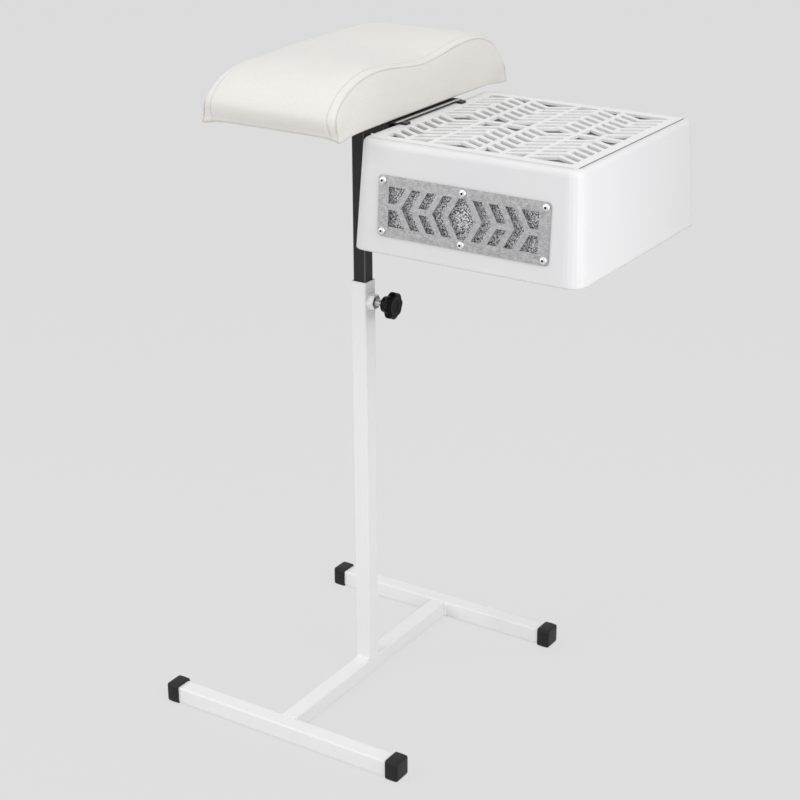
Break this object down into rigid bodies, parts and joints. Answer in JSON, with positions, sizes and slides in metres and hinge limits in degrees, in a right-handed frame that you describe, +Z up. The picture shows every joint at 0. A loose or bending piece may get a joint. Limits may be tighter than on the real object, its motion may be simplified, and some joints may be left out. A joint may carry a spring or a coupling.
{
  "type": "pedicure footrest with dust extractor",
  "caption": "Height-adjustable pedicure footrest: welded steel stand, clamped sliding post, contoured calf cushion and a box-shaped dust extractor hung beside it.",
  "frame": {"origin": "on the floor, under the middle of the overall box at the height shown in the picture", "axes": "+Z up along the column; +X from the column towards the extractor's front; +Y along the stand's centre beam, towards the cushion's higher hump"},
  "size_m": [0.5036, 0.3722, 0.7725],
  "materials": {
    "white_powder_coat": "white powder coat, satin",
    "black_powder_coat": "black powder coat, satin",
    "zinc_plated_steel": "bright zinc plating",
    "brushed_stainless": "fine brushed, slightly clouded",
    "black_plastic": "moulded, satin",
    "white_plastic": "moulded, fine texture, semi-gloss",
    "cream_leatherette": "fine-grained leatherette over foam",
    "birch_plywood": "raw birch plywood",
    "filter_fibre": "felted filter fibre",
    "filter_wool": "sparkling filter wool",
    "cast_motor": "as cast"
  },
  "bodies": {
    "stand": {"front_crossbar": "white_powder_coat", "rear_crossbar": "white_powder_coat", "centre_beam": "white_powder_coat", "column_tube": "white_powder_coat", "front_left_cap": "black_plastic", "front_right_cap": "black_plastic", "rear_left_cap": "black_plastic", "rear_right_cap": "black_plastic", "clamp_nut": "white_powder_coat"},
    "head": {"inner_post": "black_powder_coat", "seat_plate": "black_powder_coat", "bracket_arm": "black_powder_coat", "hanger_rail": "black_powder_coat", "hanger_strip": "black_powder_coat", "hanger_bolt_1": "zinc_plated_steel", "hanger_bolt_2": "zinc_plated_steel", "cushion": "cream_leatherette", "cushion_board": "birch_plywood", "seat_screw_1": "zinc_plated_steel", "seat_screw_2": "zinc_plated_steel", "seat_screw_3": "zinc_plated_steel", "seat_screw_4": "zinc_plated_steel", "hood_shell": "white_plastic", "base_plate": "white_plastic", "base_screw_1": "zinc_plated_steel", "base_screw_2": "zinc_plated_steel", "base_screw_3": "zinc_plated_steel", "base_screw_4": "zinc_plated_steel", "side_plate_near": "brushed_stainless", "near_plate_screw_1": "zinc_plated_steel", "near_plate_screw_2": "zinc_plated_steel", "near_plate_screw_3": "zinc_plated_steel", "near_plate_screw_4": "zinc_plated_steel", "near_plate_screw_5": "zinc_plated_steel", "near_plate_screw_6": "zinc_plated_steel", "exhaust_filter_near": "filter_wool", "side_plate_far": "brushed_stainless", "far_plate_screw_1": "zinc_plated_steel", "far_plate_screw_2": "zinc_plated_steel", "far_plate_screw_3": "zinc_plated_steel", "far_plate_screw_4": "zinc_plated_steel", "far_plate_screw_5": "zinc_plated_steel", "far_plate_screw_6": "zinc_plated_steel", "exhaust_filter_far": "filter_wool", "filter_pad": "filter_fibre", "filter_tray": "black_plastic", "fan_frame": "black_plastic", "fan_motor": "cast_motor", "fan_bolt_1": "zinc_plated_steel", "fan_bolt_2": "zinc_plated_steel", "fan_bolt_3": "zinc_plated_steel", "fan_bolt_4": "zinc_plated_steel", "switch_frame": "black_plastic", "power_inlet": "black_plastic"},
    "clamp_screw": {"clamp_stud": "zinc_plated_steel"},
    "knob": {"clamp_knob": "black_plastic"},
    "grille": {"top_grille": "white_plastic"},
    "rotor": {"fan_rotor": "black_plastic"},
    "rocker": {"switch_rocker": "black_plastic"}
  },
  "joints": [
    {"name": "height_slide", "type": "slide", "parent": "stand", "child": "head", "axis": [0, 0, 1], "range_m": [-0.165, 0.15]},
    {"name": "clamp_advance", "type": "slide", "parent": "stand", "child": "clamp_screw", "axis": [1, 0, 0], "range_m": [0, 0.00375]},
    {"name": "clamp_turn", "type": "hinge", "parent": "clamp_screw", "child": "knob", "pos_m": [-0.0613, 0, 0.4807], "axis": [1, 0, 0], "range_deg": [0, 1080]},
    {"name": "grille_lift", "type": "slide", "parent": "head", "child": "grille", "axis": [0, 0, 1], "range_m": [0, 0.06]},
    {"name": "fan_spin", "type": "hinge", "parent": "head", "child": "rotor", "pos_m": [0.1193, 0, 0.6781], "axis": [0, 0, 1], "continuous": true},
    {"name": "rocker_tilt", "type": "hinge", "parent": "head", "child": "rocker", "pos_m": [-0.01115, 0.05, 0.62349], "axis": [0, 1, 0], "range_deg": [0, 18]}
  ],
  "couplings": [
    {"joint": "clamp_turn", "follows": "clamp_advance", "rad_per_m": 5026.5}
  ]
}
